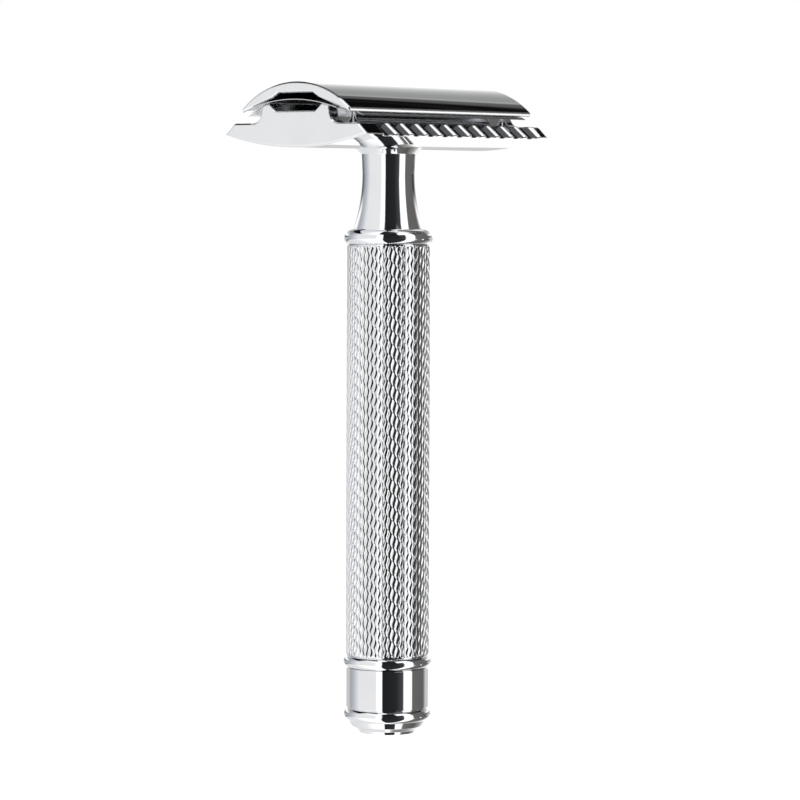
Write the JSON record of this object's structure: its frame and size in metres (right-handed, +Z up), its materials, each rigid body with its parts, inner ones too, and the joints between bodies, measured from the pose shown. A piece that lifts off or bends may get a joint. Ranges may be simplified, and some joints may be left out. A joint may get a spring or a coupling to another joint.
{
  "type": "safety razor",
  "caption": "Double-edge safety razor: screwed cap, bent blade, scalloped base plate and a slim grooved handle with collars and a pommel.",
  "frame": {"origin": "middle of the flat foot, where the upright razor rests", "axes": "+Z up the handle to the cap, X along the blade, Y across it"},
  "size_m": [0.0428, 0.0262, 0.094],
  "materials": {
    "cap": "mirror-bright chrome plate",
    "base": "mirror-bright chrome plate",
    "handle": "mirror-bright chrome plate",
    "grip": "bright chrome plate over fine wavy grooves",
    "stud": "turned and thread-cut stainless steel",
    "blade": "ground stainless strip",
    "rod": "plain turned steel",
    "spring": "spring steel"
  },
  "bodies": {
    "handle": {"neck": "handle", "upper_collar": "handle", "grip_sleeve": "grip", "lower_collar": "handle", "barrel": "handle", "tie_rod": "rod", "lock_washer": "spring", "pommel": "handle"},
    "base": {"base_plate": "base"},
    "cap": {"top_cap": "cap", "cap_stud": "stud", "locating_pin_left": "stud", "locating_pin_right": "stud"},
    "blade": {"blade": "blade"}
  },
  "joints": [
    {"name": "head_turn", "type": "hinge", "parent": "handle", "child": "base", "pos_m": [0, 0, 0.0852], "axis": [0, 0, 1], "range_deg": [0, 2880]},
    {"name": "cap_lift", "type": "slide", "parent": "base", "child": "cap", "axis": [0, 0, 1], "range_m": [0, 0.0064]},
    {"name": "blade_lift", "type": "slide", "parent": "base", "child": "blade", "axis": [0, 0, 1], "range_m": [0, 0.0032]}
  ],
  "couplings": [
    {"joint": "cap_lift", "follows": "head_turn", "m_per_rad": 0.00012732},
    {"joint": "blade_lift", "follows": "head_turn", "m_per_rad": 0.000063662}
  ]
}
